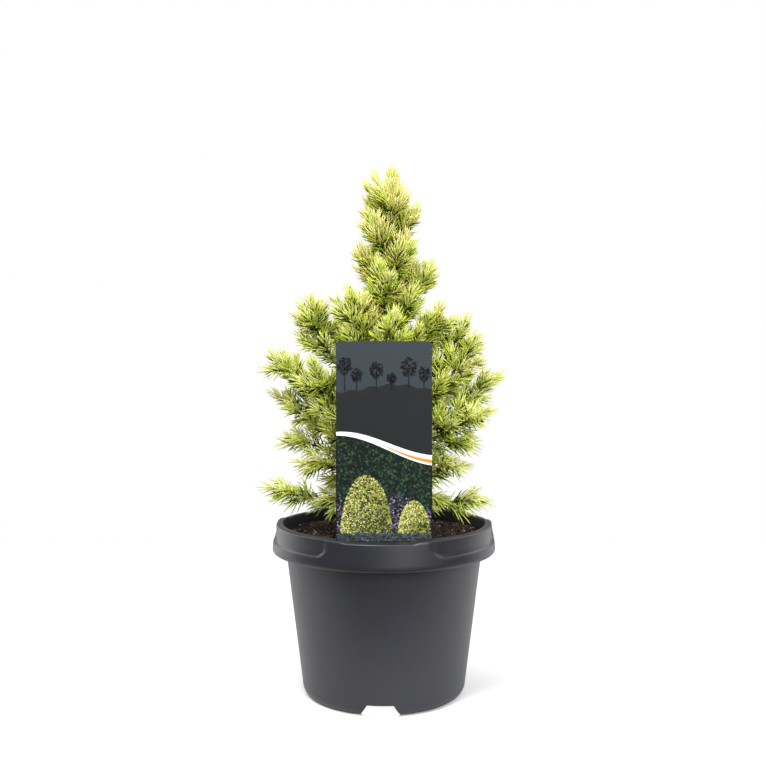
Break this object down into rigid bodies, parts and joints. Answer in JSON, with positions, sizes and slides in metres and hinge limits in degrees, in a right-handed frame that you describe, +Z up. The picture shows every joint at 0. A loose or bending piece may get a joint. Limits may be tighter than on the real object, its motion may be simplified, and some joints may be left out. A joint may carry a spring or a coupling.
{
  "type": "potted dwarf white spruce",
  "caption": "Young dwarf white spruce with pale new growth, in a round plastic nursery pot with a plant label standing in the soil.",
  "frame": {"origin": "centre of the pot's flat underside, on the ground", "axes": "+Z up along the trunk, -Y to the front, where the label stands"},
  "size_m": [0.2028, 0.1904, 0.4459],
  "materials": {
    "pot_plastic": "satin dark grey moulded plastic",
    "peat": "loose dark peat",
    "label_card": "thin printed plastic card",
    "bark": "rough brown bark",
    "needles": "cream, yellow-green and green needles"
  },
  "bodies": {
    "root": {"bough_back_second": "bark", "bough_left_fourth": "bark", "bough_left_third": "bark", "bough_left_top": "bark", "bough_low_back_left": "bark", "bough_low_back_right": "bark", "bough_low_left": "bark", "bough_low_right": "bark", "bough_right_fourth": "bark", "bough_right_third": "bark", "bough_right_top": "bark", "foliage_back_left": "needles", "foliage_back_left_top": "needles", "foliage_back_right": "needles", "foliage_back_right_top": "needles", "foliage_back_second": "needles", "foliage_back_third": "needles", "foliage_back_top": "needles", "foliage_column_1": "needles", "foliage_column_10": "needles", "foliage_column_11": "needles", "foliage_column_12": "needles", "foliage_column_2": "needles", "foliage_column_3": "needles", "foliage_column_4": "needles", "foliage_column_5": "needles", "foliage_column_6": "needles", "foliage_column_7": "needles", "foliage_column_8": "needles", "foliage_column_9": "needles", "foliage_front_left": "needles", "foliage_front_left_top": "needles", "foliage_front_right": "needles", "foliage_front_top": "needles", "foliage_leader": "needles", "foliage_left_fourth": "needles", "foliage_left_front": "needles", "foliage_left_front_low": "needles", "foliage_left_middle": "needles", "foliage_left_second": "needles", "foliage_left_third": "needles", "foliage_left_top": "needles", "foliage_low_back_left": "needles", "foliage_low_back_right": "needles", "foliage_low_front_left": "needles", "foliage_low_front_right": "needles", "foliage_low_left": "needles", "foliage_low_right": "needles", "foliage_right_fourth": "needles", "foliage_right_front": "needles", "foliage_right_front_top": "needles", "foliage_right_middle": "needles", "foliage_right_second": "needles", "foliage_right_third": "needles", "foliage_right_top": "needles", "foliage_right_upper": "needles", "plant_label": "label_card", "pot": "pot_plastic", "soil": "peat", "trunk": "bark"}
  },
  "joints": []
}
